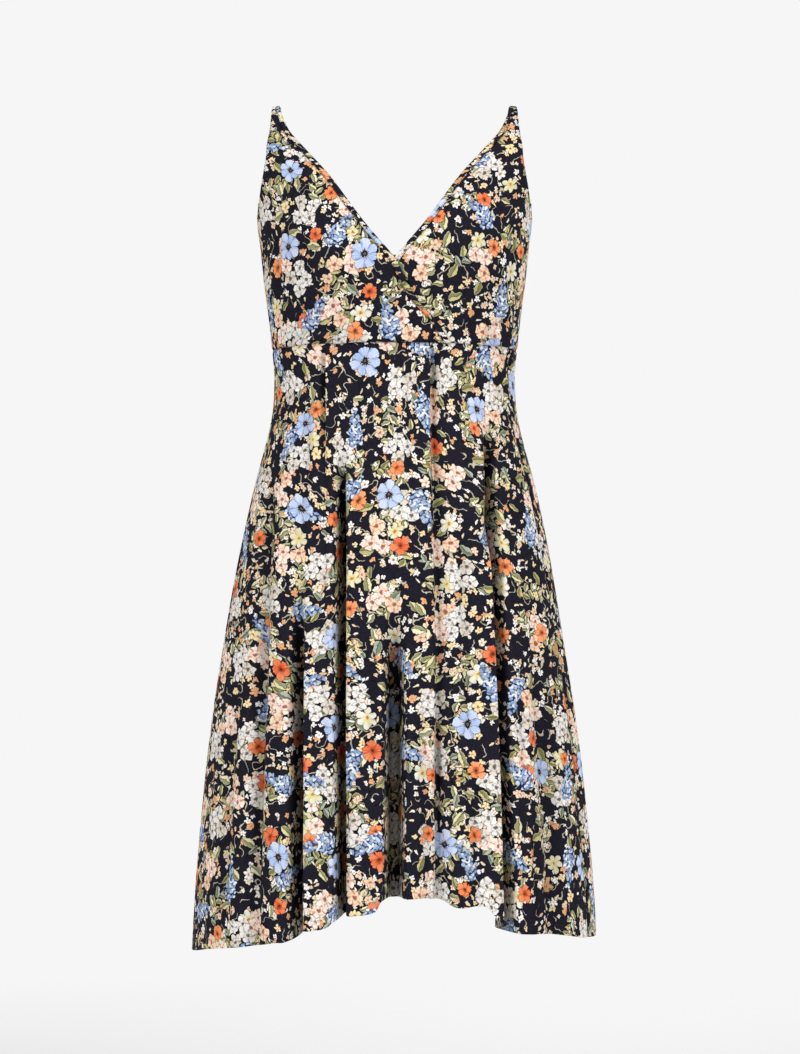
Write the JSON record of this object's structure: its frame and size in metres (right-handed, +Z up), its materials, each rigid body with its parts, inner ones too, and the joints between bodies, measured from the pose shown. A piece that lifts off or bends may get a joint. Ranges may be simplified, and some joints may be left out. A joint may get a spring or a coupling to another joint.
{
  "type": "skater dress",
  "caption": "Sleeveless knee-length dress with a wrapped V neck, thin straps, a raised waist seam and a flared, softly folded skirt, hollow as worn.",
  "frame": {"origin": "midway between the two shoulders, at the height where the straps rest on them", "axes": "+Z up; the front of the dress faces -Y; +X is on the right of someone who faces it"},
  "size_m": [0.4437, 0.3413, 0.9245],
  "materials": {
    "print_cloth": "smooth woven crepe with a small soft sheen, near-black navy with a dense print of small flowers",
    "binding_cloth": "the same printed crepe cut as narrow folded strips, edge-stitched"
  },
  "bodies": {
    "root": {"front_left": "print_cloth", "front_right": "print_cloth", "neck_binding_left": "binding_cloth", "neck_binding_right": "binding_cloth", "strap_left": "binding_cloth", "strap_right": "binding_cloth", "back": "print_cloth", "skirt_front": "print_cloth", "skirt_back": "print_cloth"}
  },
  "joints": []
}
